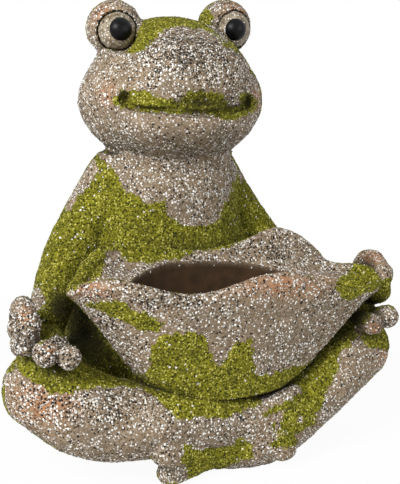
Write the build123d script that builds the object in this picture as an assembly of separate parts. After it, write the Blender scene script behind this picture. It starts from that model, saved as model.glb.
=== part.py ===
from build123d import *
import math
import os

# Garden frog that sits cross-legged and holds a leaf-shaped planter bowl in its lap.
# Lengths are millimetres. The frog faces -Y, its left side is +X and +Z is up.
# The origin is the centre of the flat underside of the body.
# A place is (left, back, up). Unless a name says otherwise, a place of a pair is the left one's.

# General
wall = 8.0
clearance = 0.3
overrun = 4.0

# Body, from the seat up to the neck
torso_half_width = 92.0
torso_half_depth = 70.0
torso_height = 262.0
torso_lean = 10.0
# Each row: rise, half width, half depth and lean
torso_station_shares = (
    (0.00, 0.90, 0.90, 0.0),
    (0.08, 0.98, 0.96, 0.0),
    (0.23, 1.04, 1.00, 0.2),
    (0.42, 1.07, 1.00, 0.4),
    (0.61, 0.89, 0.91, 0.4),
    (0.76, 0.75, 0.84, 0.6),
    (0.90, 0.73, 0.80, 0.8),
    (1.00, 0.69, 0.74, 1.0),
)
neck_spigot_radius = 30.0
neck_spigot_height = 16.0

# Head, with heights above the top of the body
head_set_forward = 2.0
cheek_half_sizes = (86.0, 73.0, 57.0)
cheek_rise = 48.5
crown_half_sizes = (73.0, 67.0, 59.5)
crown_rise = 64.0
crown_set_right = 1.8
muzzle_half_sizes = (60.0, 50.0, 42.0)
muzzle_forward = 34.0
muzzle_rise = 66.0
jaw_half_sizes = (66.0, 54.0, 33.0)
jaw_forward = 26.0
jaw_rise = 32.0

# Mouth, a groove that runs round the muzzle into a pit at each corner, with heights above the body
right_mouth_corner = (-61.0, -52.0, 49.0)
left_mouth_corner = (50.0, -61.0, 47.5)
mouth_middle = (-6.0, -81.0, 36.5)
mouth_groove_radius = 4.0
mouth_pit_radius = 7.0

# Eyes
eye_spacing = 108.4
eye_lift = 10.2
eye_tilt = 2.5
eye_bulb_half_sizes = (24.5, 26.0, 24.5)
eyeball_radius = 16.0
right_eyeball_offset = (-2.1, -12.3, -2.0)
left_eyeball_offset = (-0.2, -12.5, -1.7)
pupil_radius = 10.5
right_pupil_offset = (-0.5, -8.2, 0.2)
left_pupil_offset = (-1.2, -8.0, -0.9)

# Legs, crossed under the bowl. Ankles, heels and toes are (left, back, up) of the bowl's axis.
hip_place = (60.0, 8.0, 52.0)
hip_radius = 46.0
hip_peg_place = (74.0, -18.0, 56.0)
hip_peg_radius = 12.0
hip_peg_length = 30.0
right_knee_beyond_bowl = 13.0
left_knee_within_bowl = 4.0
knee_behind_bowl = 9.0
knee_rise = 82.0
knee_radius = 33.0
# Each row of a limb: share of the way across, forward and down or up, and of the taper
thigh_station_shares = (
    (0.00, 0.00, 0.00, 0.00),
    (0.55, 0.48, 0.42, 0.42),
    (1.00, 1.00, 1.00, 1.20),
)
right_ankle_place = (20.0, -14.0, 42.0)
right_ankle_radius = 21.0
right_shin_station_shares = (
    (0.00, 0.00, 0.00, 0.00),
    (0.36, 0.50, 0.78, -0.14),
    (0.70, 1.00, 0.94, 0.42),
    (1.00, 1.00, 1.00, 1.00),
)
left_ankle_place = (-28.0, -4.0, 20.0)
left_ankle_radius = 16.0
left_shin_station_shares = (
    (0.00, 0.00, 0.00, 0.00),
    (0.30, 0.40, 0.52, 0.28),
    (0.62, 0.70, 0.86, 0.52),
    (1.00, 1.00, 1.00, 1.00),
)

# Feet, with webs between their toes
right_heel_place = (14.0, -19.0, 42.0)
right_heel_radius = 17.0
right_toe_tips = ((62.0, -19.0, 61.0), (89.0, -19.0, 41.0), (48.0, -27.0, 18.0), (21.0, -23.0, 19.0))
right_toe_radii = (8.0, 9.0, 12.0, 12.0)
left_heel_place = (-6.0, -10.0, 18.0)
left_heel_radius = 14.0
left_toe_tips = ((-60.0, -31.0, 32.0), (-52.0, -23.0, 11.0))
left_toe_radii = (11.5, 11.3)
web_thickness = 9.0
web_reach_share = 0.62
toe_root_share = 0.9

# Leaf bowl, whose foot stands on the crossed ankles and whose back rim meets the belly
bowl_set_left = 4.0
bowl_lap = 12.0
bowl_seat_lift = 5.0
bowl_half_length = 140.0
bowl_half_depth = 50.0
bowl_foot_half_length = 60.0
bowl_foot_half_depth = 30.0
bowl_foot_recess = 3.0
bowl_floor = 10.0
bowl_rim_rise = 92.0
bowl_rim_wave = 34.0
bowl_lip_radius = 6.5
bowl_mouth_half_length = 74.0
bowl_mouth_half_depth = 38.0
bowl_mouth_rise = 97.0
bowl_bottom_half_length = 47.0
bowl_bottom_half_depth = 19.0
bowl_drain_radius = 6.0
bowl_sections_per_half = 16
# Where the control points of the outer wall lie between the foot and the rim: out, up
bowl_wall_bow_shares = ((0.36, 0.25), (0.64, 0.74))
bowl_slope_share = 0.45
bowl_throat_share = 0.55
# Each row: degrees round the oval from the frog's left, then reach and rise of the rim
bowl_rim_shares = (
    (11.0, 1.06, 0.12),
    (32.0, 1.03, 0.16),
    (44.0, 1.04, 0.70),
    (58.0, 1.04, 1.08),
    (72.0, 1.01, 0.78),
    (92.0, 1.00, 0.59),
    (124.0, 1.10, 0.90),
    (145.0, 0.98, 0.68),
    (168.0, 0.92, 0.42),
    (196.0, 1.01, 0.24),
    (213.0, 1.11, 0.42),
    (227.0, 1.17, 0.48),
    (250.0, 1.06, 0.05),
    (284.0, 1.03, 0.39),
    (304.0, 1.05, 0.00),
    (320.0, 1.05, -0.28),
    (337.0, 1.10, -0.20),
    (356.0, 1.07, 0.05),
)

# Arms
right_shoulder_out = 53.0
left_shoulder_out = 49.0
shoulder_back = 12.0
shoulder_drop = 24.0
shoulder_radius = 26.0
wrist_radius = 15.0
wrist_offset = (-8.0, 37.0, 9.0)
right_arm_station_shares = (
    (0.00, 0.00, 0.00, 0.00),
    (0.25, 0.00, 0.26, 0.15),
    (0.55, 0.11, 0.58, 0.36),
    (0.80, 0.49, 0.84, 0.66),
    (1.00, 1.00, 1.00, 1.00),
)
left_arm_station_shares = (
    (0.00, 0.00, 0.00, 0.15),
    (0.20, 0.00, 0.26, 0.25),
    (0.50, 0.11, 0.58, 0.45),
    (0.80, 0.49, 0.84, 0.70),
    (1.00, 1.00, 1.00, 1.00),
)
shoulder_peg_inset = 6.0
shoulder_peg_drop = 12.0
shoulder_peg_radius = 9.0
shoulder_peg_length = 28.0

# Hands, with every offset from the place where they rest on top of the knee
right_hand_inward = 5.0
left_hand_outward = 5.0
palm_offset = (0.0, 11.0, 3.0)
palm_half_sizes = (19.0, 30.0, 13.0)
finger_radius = 7.5
finger_waist_share = 0.55
outer_finger_root_offset = (2.0, 1.0, 2.0)
outer_finger_tip_offset = (8.0, -32.0, 6.0)
outer_tip_radius = 10.3
inner_finger_root_offset = (-7.0, 1.0, 0.0)
inner_finger_tip_offset = (-9.0, -35.0, 2.0)
inner_tip_radius = 9.4
right_loop_offset = (19.0, 4.0, 18.0)
left_loop_offset = (15.0, 4.0, 34.0)
loop_radius = 15.5
loop_finger_radius = 8.6
loop_knuckle_radius = 10.6
loop_knuckle_turns = (70.0, 130.0, 190.0, 250.0)

# Places worked out from the sizes above
bowl_foot_height = right_ankle_place[2] + right_ankle_radius + bowl_seat_lift
bowl_set_forward = torso_half_depth + bowl_half_depth - bowl_lap
bowl_axis_place = (bowl_set_left, -bowl_set_forward)
bowl_rim_height = bowl_foot_height + bowl_rim_rise
bowl_mouth_height = bowl_foot_height + bowl_mouth_rise
right_knee_out = bowl_half_length - bowl_set_left + right_knee_beyond_bowl
left_knee_out = bowl_half_length + bowl_set_left - left_knee_within_bowl
right_knee_place = (right_knee_out, knee_behind_bowl - bowl_set_forward, knee_rise)
left_knee_place = (left_knee_out, knee_behind_bowl - bowl_set_forward, knee_rise)
shoulder_height = torso_height - shoulder_drop
crown_place = (-crown_set_right, -head_set_forward, torso_height + crown_rise)


def moved(place, offset):
    """A place moved by an offset."""
    return tuple(a + b for a, b in zip(place, offset))


def mirrored(place):
    """The same place on the frog's other side."""
    return (-place[0], place[1], place[2])


def at_bowl(place):
    """A place that was given forward from the bowl's axis."""
    return (place[0], place[1] - bowl_set_forward, place[2])


def other_side(shape):
    """The same piece on the frog's right side."""
    return mirror(shape, about=Plane.YZ)


def ellipsoid(place, half_sizes):
    """Solid ellipsoid with its axes along X, Y and Z."""
    return Pos(*place) * scale(Sphere(1), by=tuple(half_sizes))


def drawn_in(half_sizes):
    """Half sizes of a hollow that leaves one wall inside an ellipsoid."""
    return tuple(size - wall for size in half_sizes)


def section_plane(place, heading):
    """Plane across a limb, with its X axis kept level so that sections do not twist."""
    side = Vector(0, 0, 1).cross(heading)
    return Plane(origin=place, x_dir=side, z_dir=heading)


def limb(places, radii, round_end=True):
    """Tapering round limb through the given places, with a dome on its start and its end."""
    points = [Vector(*place) for place in places]
    last = len(points) - 1
    planes = []
    for index, point in enumerate(points):
        heading = points[min(index + 1, last)] - points[max(index - 1, 0)]
        planes.append(section_plane(point, heading))
    solid = loft([plane * Circle(radius) for plane, radius in zip(planes, radii)])
    solid += planes[0] * Rot(180, 0, 0) * Sphere(radii[0], arc_size1=0, align=None)
    if round_end:
        solid += planes[-1] * Sphere(radii[-1], arc_size1=0, align=None)
    return solid


def stations(start, end, start_radius, end_radius, station_shares):
    """Places and radii between two ends, each station at its shares of the way."""
    places = []
    radii = []
    for station in station_shares:
        places.append(tuple(a + (b - a) * share for a, b, share in zip(start, end, station)))
        radii.append(start_radius + (end_radius - start_radius) * station[3])
    return places, radii


def main_solid(shape):
    """The piece itself, without crumbs that a curved cut leaves at a thin edge."""
    return max(shape.solids(), key=lambda solid: solid.volume)


def peg(place, radius, length):
    """Round peg that points outwards from a place, along X."""
    return Pos(*place) * Rot(0, 90, 0) * Cylinder(
        radius, length, align=(Align.CENTER, Align.CENTER, Align.MIN)
    )


def hip_peg(gap):
    """Peg of the thigh in the side of the body, larger by a gap for its hole."""
    return peg(hip_peg_place, hip_peg_radius + gap, hip_peg_length)


def shoulder_peg(out, gap):
    """Peg of the arm in the side of the body, larger by a gap for its hole."""
    place = (out - shoulder_peg_inset, shoulder_back, shoulder_height - shoulder_peg_drop)
    return peg(place, shoulder_peg_radius + gap, shoulder_peg_length)


def neck_spigot(gap):
    """Round stub on top of the body that centres the head, larger by a gap for its socket."""
    spigot = Cylinder(
        neck_spigot_radius + gap,
        neck_spigot_height + gap + wall,
        align=(Align.CENTER, Align.CENTER, Align.MIN),
    )
    return Pos(0, torso_lean, torso_height - wall) * spigot


def torso_loft(inset, low, high):
    """Body shape between two heights, drawn in from the outside by an inset."""
    sections = []
    for rise, width, depth, lean in torso_station_shares:
        height = min(max(rise * torso_height, low), high)
        half_width = width * torso_half_width - inset
        half_depth = depth * torso_half_depth - inset
        place = Plane(origin=(0, lean * torso_lean, height))
        sections.append(place * Ellipse(half_width, half_depth))
    return loft(sections)


def make_torso_hollow():
    """Hollow of the body, which opens through the neck spigot."""
    bore = Cylinder(neck_spigot_radius - wall, 2 * (neck_spigot_height + wall) + overrun)
    return torso_loft(wall, wall, torso_height - wall) + Pos(0, torso_lean, torso_height) * bore


def bulb_place(side):
    """Centre of an eye bulb above the crown's surface. The left one stands higher."""
    half_width, half_depth, half_height = crown_half_sizes
    out = eye_spacing / 2
    surface = half_height * math.sqrt(1 - (out / half_width) ** 2 - (head_set_forward / half_depth) ** 2)
    return (side * out, 0, torso_height + crown_rise + surface + eye_lift + side * eye_tilt)


def make_head_outside():
    """Cheeks, crown, muzzle and jaw with the two eye bulbs."""
    head = ellipsoid((0, -head_set_forward, torso_height + cheek_rise), cheek_half_sizes)
    head += ellipsoid(crown_place, crown_half_sizes)
    head += ellipsoid((0, -muzzle_forward, torso_height + muzzle_rise), muzzle_half_sizes)
    head += ellipsoid((0, -jaw_forward, torso_height + jaw_rise), jaw_half_sizes)
    for side in (-1, 1):
        head += ellipsoid(bulb_place(side), eye_bulb_half_sizes)
    return head


def make_head_hollow():
    """Hollow of the head, one wall inside the cheeks and the crown and above the body."""
    hollow = ellipsoid((0, -head_set_forward, torso_height + cheek_rise), drawn_in(cheek_half_sizes))
    hollow += ellipsoid(crown_place, drawn_in(crown_half_sizes))
    return split(hollow, Plane(origin=(0, 0, torso_height + wall)), keep=Keep.TOP)


def ball(place, radius):
    """Ball with its poles at the front and the back."""
    return Pos(*place) * Rot(90, 0, 0) * Sphere(radius)


def make_mouth_cuts():
    """The pits at the corners of the mouth, then the groove between the lips."""
    top = (0, 0, torso_height)
    right = moved(right_mouth_corner, top)
    middle = moved(mouth_middle, top)
    left = moved(left_mouth_corner, top)
    lip_line = ThreePointArc(right, middle, left)
    start = Plane(origin=lip_line @ 0, z_dir=lip_line % 0)
    groove = sweep(start * Circle(mouth_groove_radius), path=lip_line)
    return [ball(right, mouth_pit_radius), ball(left, mouth_pit_radius), groove]


def eyeball_place(side):
    """Centre of an eyeball, set forward in its bulb."""
    return moved(bulb_place(side), left_eyeball_offset if side > 0 else right_eyeball_offset)


def pupil_place(side):
    """Centre of a pupil's dome, set forward in its eyeball."""
    return moved(eyeball_place(side), left_pupil_offset if side > 0 else right_pupil_offset)


def make_eyeball(side):
    """Eyeball with a seat for its pupil."""
    return ball(eyeball_place(side), eyeball_radius) - ball(pupil_place(side), pupil_radius + clearance)


def make_head():
    """Hollow head with its mouth, its neck socket and a socket for each eyeball."""
    head = make_head_outside() - make_head_hollow() - neck_spigot(clearance)
    head -= torso_loft(0, 0, torso_height)
    for side in (-1, 1):
        head -= ball(eyeball_place(side), eyeball_radius + clearance)
    for cut in make_mouth_cuts():
        head -= cut
    return head


def rim_at(turn):
    """Reach and rise shares of the rim at a turn round the oval, eased between the rows."""
    count = len(bowl_rim_shares)
    after = next((index for index in range(count) if bowl_rim_shares[index][0] > turn), count)
    rows = []
    for index in range(after - 2, after + 2):
        lap = 360 * (index // count)
        degrees, reach, rise = bowl_rim_shares[index % count]
        rows.append((degrees + lap, reach, rise))
    span = rows[2][0] - rows[1][0]
    t = (turn - rows[1][0]) / span
    values = []
    for column in (1, 2):
        before, start, end, beyond = [row[column] for row in rows]
        slope_in = (end - before) / (rows[2][0] - rows[0][0]) * span
        slope_out = (beyond - start) / (rows[3][0] - rows[1][0]) * span
        first = (2 * t**3 - 3 * t**2 + 1) * start + (t**3 - 2 * t**2 + t) * slope_in
        second = (3 * t**2 - 2 * t**3) * end + (t**3 - t**2) * slope_out
        values.append(first + second)
    return values


def oval_reach(turn, half_length, half_depth):
    """Distance from the bowl's axis to an oval, in the direction of a turn of the rim's oval."""
    along = bowl_half_length * math.cos(math.radians(turn))
    across = bowl_half_depth * math.sin(math.radians(turn))
    return math.hypot(along, across) / math.hypot(along / half_length, across / half_depth)


def bowl_plane(turn):
    """Upright plane through the bowl's axis that faces a turn of the rim's oval."""
    along = bowl_half_length * math.cos(math.radians(turn))
    across = bowl_half_depth * math.sin(math.radians(turn))
    outward = Vector(along, across, 0)
    return Plane(origin=(*bowl_axis_place, 0), x_dir=outward, z_dir=outward.cross(Vector(0, 0, 1)))


def bowl_section(turn):
    """Upright section of the bowl's wall: foot, outside, rolled lip, slope, throat and inside."""
    reach, rise = rim_at(turn)
    rim = reach * oval_reach(turn, bowl_half_length, bowl_half_depth)
    foot = oval_reach(turn, bowl_foot_half_length, bowl_foot_half_depth)
    mouth = oval_reach(turn, bowl_mouth_half_length, bowl_mouth_half_depth)
    bottom = oval_reach(turn, bowl_bottom_half_length, bowl_bottom_half_depth)
    top = bowl_rim_height + rise * bowl_rim_wave
    lip_height = top - bowl_lip_radius
    mouth_height = min(bowl_mouth_height, lip_height)
    floor_height = bowl_foot_height + bowl_floor
    foot_edge = (foot, bowl_foot_height)
    lip_outer = (rim, lip_height)
    lip_crest = (rim - bowl_lip_radius, top)
    lip_inner = (rim - 2 * bowl_lip_radius, lip_height)
    bows = []
    for out, up in bowl_wall_bow_shares:
        bow_height = bowl_foot_height + (lip_height - bowl_foot_height) * up
        bows.append((foot + (rim - foot) * out, bow_height))
    slope = (mouth + (lip_inner[0] - mouth) * bowl_slope_share, mouth_height)
    throat = (mouth, floor_height + (mouth_height - floor_height) * bowl_throat_share)
    outline = Line((bottom, bowl_foot_height), foot_edge)
    outline += Bezier(foot_edge, *bows, lip_outer)
    outline += ThreePointArc(lip_outer, lip_crest, lip_inner)
    outline += Bezier(lip_inner, slope, (mouth, mouth_height))
    outline += Bezier((mouth, mouth_height), throat, (bottom, floor_height))
    outline += Line((bottom, floor_height), (bottom, bowl_foot_height))
    return bowl_plane(turn) * make_face(outline)


def bowl_half(first_turn):
    """Half of the bowl's wall, lofted through upright sections round the oval."""
    spread = range(bowl_sections_per_half + 1)
    turns = [first_turn + 180 * index / bowl_sections_per_half for index in spread]
    return loft([bowl_section(turn % 360) for turn in turns])


def bowl_oval(half_length, half_depth, height):
    """Level oval on the bowl's axis, an overrun wider than its half sizes."""
    place = Plane(origin=(*bowl_axis_place, height))
    return place * Ellipse(half_length + overrun, half_depth + overrun)


def make_bowl():
    """Planter with a wavy rolled rim, a recessed floor and a drain hole."""
    floor_low = bowl_foot_height + bowl_foot_recess
    floor_oval = bowl_oval(bowl_bottom_half_length, bowl_bottom_half_depth, floor_low)
    floor_plate = extrude(floor_oval, bowl_floor - bowl_foot_recess)
    drain = Pos(*bowl_axis_place, bowl_foot_height) * Cylinder(bowl_drain_radius, 2 * bowl_floor + overrun)
    return bowl_half(0) + bowl_half(180) + floor_plate - drain


def make_bowl_plug():
    """Everything inside the bowl, so that no neighbour reaches into it."""
    low_oval = bowl_oval(bowl_bottom_half_length, bowl_bottom_half_depth, bowl_foot_height)
    high_oval = bowl_oval(bowl_mouth_half_length, bowl_mouth_half_depth, bowl_rim_height)
    return loft([low_oval, high_oval])


def make_arm(shoulder_out, rest, station_shares):
    """Arm from the shoulder to the wrist above a hand's rest."""
    shoulder = (shoulder_out, shoulder_back, shoulder_height)
    wrist = moved(rest, wrist_offset)
    return limb(*stations(shoulder, wrist, shoulder_radius, wrist_radius, station_shares))


def make_thigh(knee):
    """Thigh from the hip to the inside of the knee."""
    places, radii = stations(hip_place, knee, hip_radius, knee_radius, thigh_station_shares)
    return limb(places, radii, round_end=False)


def make_shin(knee, ankle, ankle_radius, station_shares):
    """Knee and shin, down to an ankle."""
    return limb(*stations(knee, at_bowl(ankle), knee_radius, ankle_radius, station_shares))


def finger(rest, root_offset, tip_offset, tip_radius):
    """Straight finger that swells to a round pad at its tip."""
    root = moved(rest, root_offset)
    tip = moved(rest, tip_offset)
    waist = [a + (b - a) * finger_waist_share for a, b in zip(root, tip)]
    return limb([root, waist, tip], [finger_radius, finger_radius, tip_radius])


def make_hand(rest):
    """Palm, turned up, with its two outer fingers."""
    hand = ellipsoid(moved(rest, palm_offset), palm_half_sizes)
    hand += finger(rest, outer_finger_root_offset, outer_finger_tip_offset, outer_tip_radius)
    hand += finger(rest, inner_finger_root_offset, inner_finger_tip_offset, inner_tip_radius)
    return hand


def make_loop(place):
    """Thumb and forefinger, closed to an upright ring with round knuckles."""
    loop = Rot(0, 90, 0) * Torus(loop_radius, loop_finger_radius)
    for turn in loop_knuckle_turns:
        along = -loop_radius * math.sin(math.radians(turn))
        up = loop_radius * math.cos(math.radians(turn))
        loop += Pos(0, along, up) * Sphere(loop_knuckle_radius)
    return Pos(*place) * loop


def make_foot(heel, heel_radius, toe_tips, toe_radii):
    """Foot with round-tipped toes that fan out from the heel, and webs between them."""
    heel = at_bowl(heel)
    toe_tips = [at_bowl(tip) for tip in toe_tips]
    root_radius = heel_radius * toe_root_share
    foot = Pos(*heel) * Sphere(heel_radius)
    for tip, radius in zip(toe_tips, toe_radii):
        foot += limb([heel, tip], [root_radius, radius])
    for first, second in zip(toe_tips, toe_tips[1:]):
        middle = [(a + b) / 2 for a, b in zip(first, second)]
        edge = [a + (b - a) * web_reach_share for a, b in zip(heel, middle)]
        foot += limb([heel, edge], [root_radius, web_thickness / 2])
    return foot


def make_ground():
    """Everything below the floor, where no piece may reach."""
    return Box(
        4 * torso_height, 4 * torso_height, torso_height, align=(Align.CENTER, Align.CENTER, Align.MAX)
    )


def make_torso(outside):
    """Hollow body with its neck spigot and a hole for each limb's peg."""
    torso = outside + neck_spigot(0) - make_torso_hollow()
    torso -= shoulder_peg(left_shoulder_out, clearance)
    torso -= other_side(shoulder_peg(right_shoulder_out, clearance))
    torso -= hip_peg(clearance)
    torso -= other_side(hip_peg(clearance))
    return torso


def build_nodes():
    """All pieces by name. Where two meet, the smaller one is cut by the larger one."""
    bowl = make_bowl()
    bowl_space = bowl + make_bowl_plug()
    body_space = torso_loft(0, 0, torso_height) - bowl_space
    head_space = make_head_outside()
    ground = make_ground()
    nodes = {"torso": make_torso(body_space), "head": make_head(), "leaf_bowl": bowl}

    right_rest = moved(right_knee_place, (-right_hand_inward, 0, knee_radius))
    left_rest = moved(left_knee_place, (left_hand_outward, 0, knee_radius))
    right_shin = other_side(
        make_shin(
            right_knee_place, mirrored(right_ankle_place), right_ankle_radius, right_shin_station_shares
        )
    )
    left_shin = make_shin(left_knee_place, left_ankle_place, left_ankle_radius, left_shin_station_shares)
    right_whole = {
        "thigh": other_side(make_thigh(right_knee_place)),
        "shin": right_shin,
        "arm": other_side(make_arm(right_shoulder_out, right_rest, right_arm_station_shares)),
        "hand": other_side(make_hand(right_rest)),
        "loop": other_side(make_loop(moved(right_rest, right_loop_offset))),
        "hip_peg": other_side(hip_peg(0)),
        "shoulder_peg": other_side(shoulder_peg(right_shoulder_out, 0)),
    }
    left_whole = {
        "thigh": make_thigh(left_knee_place),
        "shin": left_shin - right_shin,
        "arm": make_arm(left_shoulder_out, left_rest, left_arm_station_shares),
        "hand": make_hand(left_rest),
        "loop": make_loop(moved(left_rest, left_loop_offset)),
        "hip_peg": hip_peg(0),
        "shoulder_peg": shoulder_peg(left_shoulder_out, 0),
    }
    for side, sign, whole in (("right", -1, right_whole), ("left", 1, left_whole)):
        legs = whole["thigh"] + whole["shin"]
        thigh = main_solid(whole["thigh"] - body_space - bowl_space - whole["shin"] - ground)
        arm = main_solid(whole["arm"] - body_space - bowl_space - head_space - legs)
        nodes[side + "_thigh"] = thigh + whole["hip_peg"]
        nodes[side + "_shin"] = main_solid(whole["shin"] - body_space - bowl_space - ground)
        nodes[side + "_arm"] = arm + whole["shoulder_peg"]
        nodes[side + "_hand"] = main_solid(whole["hand"] - whole["arm"] - bowl_space - legs)
        loop = whole["loop"] - whole["hand"] - whole["arm"] - bowl_space - legs
        nodes[side + "_finger_loop"] = main_solid(loop)
        nodes[side + "_eyeball"] = make_eyeball(sign)
        nodes[side + "_pupil"] = ball(pupil_place(sign), pupil_radius)

    right_foot = make_foot(right_heel_place, right_heel_radius, right_toe_tips, right_toe_radii)
    left_foot = make_foot(left_heel_place, left_heel_radius, left_toe_tips, left_toe_radii)
    taken = bowl_space + right_shin + left_shin + ground
    nodes["right_foot"] = main_solid(right_foot - taken)
    nodes["left_foot"] = main_solid(left_foot - right_foot - taken)
    return nodes


def main():
    os.makedirs("parts", exist_ok=True)
    for name, shape in build_nodes().items():
        export_step(shape, os.path.join("parts", name + ".step"))


main()
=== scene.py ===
import math

import bpy
import numpy as np
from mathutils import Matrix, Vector


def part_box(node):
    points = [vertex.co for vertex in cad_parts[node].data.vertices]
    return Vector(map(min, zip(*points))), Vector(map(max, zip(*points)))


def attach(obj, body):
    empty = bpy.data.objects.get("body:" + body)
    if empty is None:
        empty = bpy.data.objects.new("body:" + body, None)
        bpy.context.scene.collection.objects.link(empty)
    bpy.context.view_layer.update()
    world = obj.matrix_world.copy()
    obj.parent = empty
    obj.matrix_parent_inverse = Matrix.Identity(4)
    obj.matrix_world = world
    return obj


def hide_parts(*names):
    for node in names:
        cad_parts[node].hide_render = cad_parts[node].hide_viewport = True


# Looks of the garden frog that holds a leaf-shaped planter bowl in its lap.
# Lengths are millimetres unless a name says otherwise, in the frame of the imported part.
# The frog faces -Y, its left side is +X and +Z is up. Places of a right limb or hand are given as
# if it were on the left.

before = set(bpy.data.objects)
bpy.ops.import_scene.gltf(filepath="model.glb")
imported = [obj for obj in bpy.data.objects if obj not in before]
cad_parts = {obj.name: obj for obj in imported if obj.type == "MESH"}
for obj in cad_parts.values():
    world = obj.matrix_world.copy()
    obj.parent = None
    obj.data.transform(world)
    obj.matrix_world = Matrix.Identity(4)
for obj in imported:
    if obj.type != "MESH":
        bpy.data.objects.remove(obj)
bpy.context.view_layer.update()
MM = 0.001


def frame_box(node):
    """Lowest and highest corner of a CAD node, in millimetres."""
    low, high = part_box(node)
    return np.array(low) / MM, np.array(high) / MM


# Photograph, whose camera the scene repeats
PHOTO_WIDTH = 400
PHOTO_HEIGHT = 484
camera_target = np.array((29.0, 0.0, 177.0))
camera_azimuth = -23.0
camera_distance = 820.0
camera_height = 300.0
camera_focus_px = 865.0
sensor_size = 36.0
turn = math.radians(camera_azimuth)
camera_place = np.array(
    (
        camera_target[0] + camera_distance * math.sin(turn),
        camera_target[1] - camera_distance * math.cos(turn),
        camera_height,
    )
)

# How far from the surface creases are looked for, for the painted shade in them, and how much each reach
# counts
crease_reaches = ((5.0, 0.25), (14.0, 0.3), (36.0, 0.2), (70.0, 0.1))

# Grid that the modelled surface is sampled on
cell = 1.55
coarse_step = 4
band = 8.0
reach_margin = 26.0
window_margin = 9.0
far_away = 60.0
seam_dip = 0.7
seam_width = 4.0

# Body
torso_half_width = 92.0
torso_half_depth = 70.0
torso_height = 262.0
torso_lean = 10.0
torso_sway = -3.5
nape_drop = 20.0
torso_steps = 12
# How much nearer its slanting side is than a level one
torso_side_share = 0.92
# Each row: rise, half width, half depth and lean
torso_stations = (
    (0.00, 0.90, 0.90, 0.0),
    (0.08, 0.98, 0.96, 0.0),
    (0.23, 1.07, 1.00, 0.2),
    (0.42, 1.10, 1.00, 0.4),
    (0.61, 0.89, 0.91, 0.4),
    (0.76, 0.75, 0.84, 0.6),
    (0.90, 0.73, 0.80, 0.8),
    (1.00, 0.69, 0.74, 1.0),
)

# Head, with places from the top of the body
cheeks = ((-0.8, -2.0, 48.5), (85.6, 73.0, 57.0))
crown = ((-1.8, -2.0, 64.0), (73.0, 67.0, 59.5))
muzzle = ((0.0, -34.0, 66.0), (60.0, 50.0, 42.0))
jaw = ((-3.5, -26.0, 30.8), (68.5, 54.0, 33.0))
head_blend = 10.0
face_bottom = torso_height + 20.0
face_back = 10.0
bulb_places = {"right": (-53.6, 0.0, 111.5), "left": (53.4, 0.0, 116.5)}
bulb_half_sizes = (24.5, 26.0, 24.5)
bulb_blend = 7.0
# How much larger and where the painted eyes are than the plain balls, by the photograph
eye_growth = {"eyeball": 0.8, "pupil": 0.8}
eye_shift = (1.2, 0.0, -1.1)
lid_gap = 1.5
lid_radius = 14.8
lid_flare_radius = 16.6
lid_flare_reach = 20.0
lid_blend = 1.4

# Mouth, with rows of place and radius from the top of the body: the line between the lips, the
# pits at its ends, and the tools that hollow the upper lip under the nose
mouth_line_rows = (
    (-61.0, -51.5, 46.5, 3.4),
    (-55.0, -56.0, 41.8, 3.2),
    (-40.2, -67.0, 39.4, 3.2),
    (-23.7, -74.6, 38.6, 3.4),
    (-7.3, -75.2, 36.4, 3.6),
    (12.4, -74.2, 37.4, 3.6),
    (33.0, -67.8, 40.6, 3.4),
    (49.0, -60.0, 45.0, 3.4),
)
mouth_pits = ((-61.2, -51.2, 49.2, 6.6), (48.4, -60.8, 48.0, 6.4))
mouth_blend = 2.2
arch_rows = (
    (-25.0, -80.5, 41.0, 8.5),
    (-12.5, -87.0, 43.0, 12.0),
    (0.0, -90.4, 43.0, 15.0),
    (13.5, -88.0, 41.5, 13.0),
    (27.0, -78.0, 38.5, 8.5),
)
arch_blend = 3.5

# Limbs, with a row of place and radius at each station
hip = (60.0, 8.0, 52.0, 46.0)
knees = {"right": (147.5, -99.0, 83.5, 32.0), "left": (140.0, -99.0, 88.0, 31.5)}
thigh_shares = ((0.0, 0.0, 0.0, 0.0), (0.55, 0.48, 0.42, 0.42), (1.0, 1.0, 1.0, 1.2))
ankles = {"right": (-20.0, -122.0, 42.0, 21.0), "left": (-28.0, -112.0, 20.0, 16.0)}
shin_shares = {
    "right": (
        (0.0, 0.0, 0.0, 0.0),
        (0.20, 0.40, 0.54, -0.22),
        (0.40, 0.60, 0.75, -0.02),
        (0.70, 1.0, 0.84, 0.64),
        (1.0, 1.0, 1.0, 1.0),
    ),
    "left": ((0.0, 0.0, 0.0, 0.0), (0.30, 0.62, 0.56, 0.24), (0.62, 0.80, 0.90, 0.02),
        (1.0, 1.0, 1.0, 1.0)),
}
shoulders = {"right": (53.0, 12.0, 238.0, 26.0), "left": (49.0, 12.0, 238.0, 26.0)}
wrist_offset = (-8.0, 37.0, 9.0, 15.0)
arm_shares = {
    "right": (
        (0.0, 0.0, 0.0, 0.0),
        (0.25, 0.0, 0.26, 0.15),
        (0.55, 0.11, 0.58, 0.36),
        (0.80, 0.49, 0.84, 0.66),
        (1.0, 1.0, 1.0, 1.0),
    ),
    "left": (
        (0.0, 0.0, 0.0, 0.15),
        (0.24, 0.0, 0.26, 0.25),
        (0.545, 0.11, 0.58, 0.45),
        (0.80, 0.49, 0.84, 0.70),
        (1.0, 1.0, 1.0, 1.0),
    ),
}
steps_per_span = 5

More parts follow.
